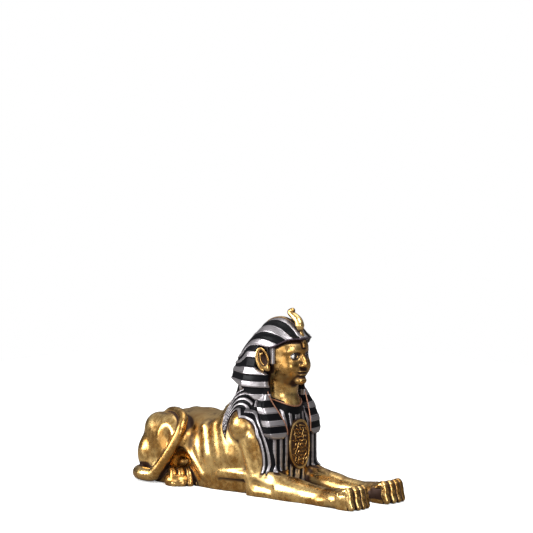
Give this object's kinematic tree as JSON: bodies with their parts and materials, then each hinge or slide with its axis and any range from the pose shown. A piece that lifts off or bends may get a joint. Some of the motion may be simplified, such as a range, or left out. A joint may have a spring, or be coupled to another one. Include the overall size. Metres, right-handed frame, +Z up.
{
  "type": "sphinx statue",
  "caption": "Tabletop statue of a reclining sphinx: lion's body, human head in a striped head-cloth, ribbed breast cloth with an oval pendant, tail wrapped round one haunch.",
  "frame": {"origin": "on the flat underside, on the middle plane, halfway along the statue's length", "axes": "+X towards the face and forepaws, +Y towards the sphinx's left, +Z up"},
  "size_m": [0.302, 0.113, 0.1869],
  "materials": {
    "gilding": "cast resin with a polished antique gold finish, brown in the hollows",
    "silvering": "brushed antique silver paint on the raised bands",
    "black_bands": "satin black paint in the sunk bands",
    "eye_inlay": "painted white and dark eyes, glossy"
  },
  "bodies": {
    "root": {"sphinx_statue": "gilding"}
  },
  "joints": []
}
